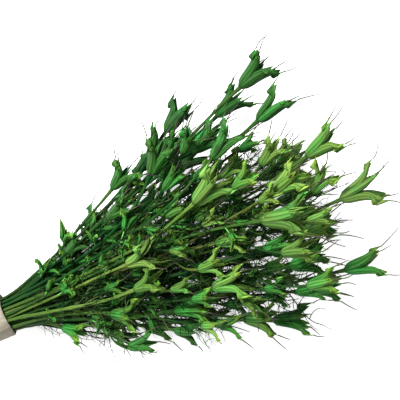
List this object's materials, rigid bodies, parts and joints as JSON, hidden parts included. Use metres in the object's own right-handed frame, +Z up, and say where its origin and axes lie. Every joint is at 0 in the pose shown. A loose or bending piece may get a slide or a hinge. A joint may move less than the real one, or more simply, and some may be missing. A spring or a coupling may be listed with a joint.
{
  "type": "tied bunch of dried nigella seed pods",
  "caption": "Tied bunch of dried, green-dyed nigella stems that fan out into horned seed pods, held in a paper sleeve with wound twine and lying on its side.",
  "frame": {"origin": "middle of the bunch's footprint, on the surface that it lies on", "axes": "+X along the bunch from the cut ends to the pods, +Y across the fan of heads, +Z up"},
  "size_m": [0.4772, 0.2416, 0.1351],
  "materials": {
    "dyed_stem_and_pod": "matte",
    "kraft_paper": "matte",
    "jute_twine": "matte"
  },
  "bodies": {
    "root": {"spray_01": "dyed_stem_and_pod", "spray_02": "dyed_stem_and_pod", "spray_03": "dyed_stem_and_pod", "spray_04": "dyed_stem_and_pod", "spray_05": "dyed_stem_and_pod", "spray_06": "dyed_stem_and_pod", "spray_07": "dyed_stem_and_pod", "spray_08": "dyed_stem_and_pod", "spray_09": "dyed_stem_and_pod", "spray_10": "dyed_stem_and_pod", "spray_11": "dyed_stem_and_pod", "spray_12": "dyed_stem_and_pod", "spray_13": "dyed_stem_and_pod", "spray_14": "dyed_stem_and_pod", "spray_15": "dyed_stem_and_pod", "spray_16": "dyed_stem_and_pod", "spray_17": "dyed_stem_and_pod", "spray_18": "dyed_stem_and_pod", "spray_19": "dyed_stem_and_pod", "spray_20": "dyed_stem_and_pod", "spray_21": "dyed_stem_and_pod", "spray_22": "dyed_stem_and_pod", "spray_23": "dyed_stem_and_pod", "spray_24": "dyed_stem_and_pod", "spray_25": "dyed_stem_and_pod", "spray_26": "dyed_stem_and_pod", "spray_27": "dyed_stem_and_pod", "spray_28": "dyed_stem_and_pod", "spray_29": "dyed_stem_and_pod", "spray_30": "dyed_stem_and_pod", "spray_31": "dyed_stem_and_pod", "spray_32": "dyed_stem_and_pod", "spray_33": "dyed_stem_and_pod", "spray_34": "dyed_stem_and_pod", "spray_35": "dyed_stem_and_pod", "spray_36": "dyed_stem_and_pod", "spray_37": "dyed_stem_and_pod", "spray_38": "dyed_stem_and_pod", "spray_39": "dyed_stem_and_pod", "spray_40": "dyed_stem_and_pod", "spray_41": "dyed_stem_and_pod", "spray_42": "dyed_stem_and_pod", "spray_43": "dyed_stem_and_pod", "spray_44": "dyed_stem_and_pod", "spray_45": "dyed_stem_and_pod", "spray_46": "dyed_stem_and_pod", "spray_47": "dyed_stem_and_pod", "spray_48": "dyed_stem_and_pod", "spray_49": "dyed_stem_and_pod", "spray_50": "dyed_stem_and_pod", "spray_51": "dyed_stem_and_pod", "spray_52": "dyed_stem_and_pod", "spray_53": "dyed_stem_and_pod", "spray_54": "dyed_stem_and_pod", "spray_55": "dyed_stem_and_pod", "sleeve": "kraft_paper", "twine": "jute_twine"}
  },
  "joints": []
}
